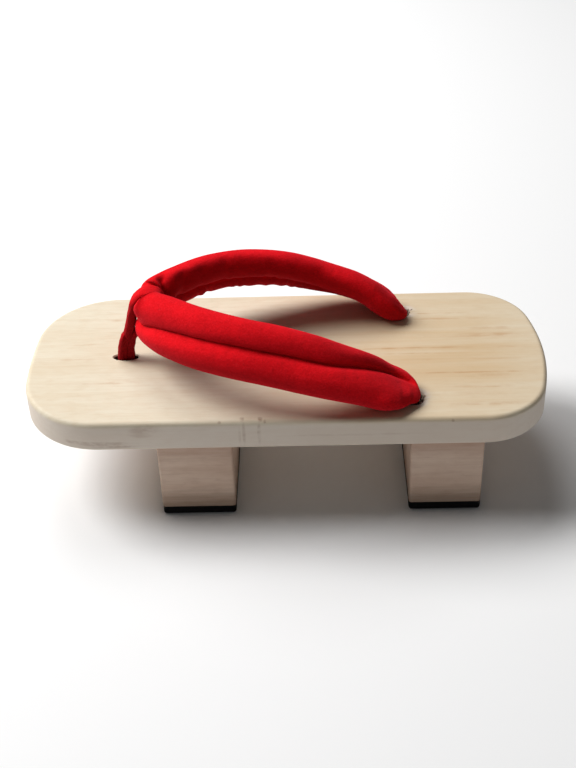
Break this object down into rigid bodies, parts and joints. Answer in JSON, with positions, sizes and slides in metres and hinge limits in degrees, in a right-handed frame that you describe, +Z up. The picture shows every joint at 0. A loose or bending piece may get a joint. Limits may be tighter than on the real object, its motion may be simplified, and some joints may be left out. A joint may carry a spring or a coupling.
{
  "type": "geta sandal",
  "caption": "Flat wooden sandal board on two cross teeth with rubber treads, held to the foot by a padded cloth strap in a V and a toe loop.",
  "frame": {"origin": "on the floor under the middle of the board", "axes": "+X towards the heel, +Z up, -Y on the left side as the toe points"},
  "size_m": [0.24, 0.1024, 0.0937],
  "materials": {
    "wood": "bare pale wood, planed smooth, grain along the board",
    "rubber": "black sheet rubber, matte",
    "velvet": "red velvet with a short nap",
    "cord": "twisted natural fibre cord"
  },
  "bodies": {
    "root": {"board": "wood", "tooth_front": "wood", "tooth_rear": "wood", "tread_front": "rubber", "tread_rear": "rubber", "thong_strap": "velvet", "toe_loop": "velvet", "strap_cord_left": "cord", "strap_cord_right": "cord"}
  },
  "joints": []
}
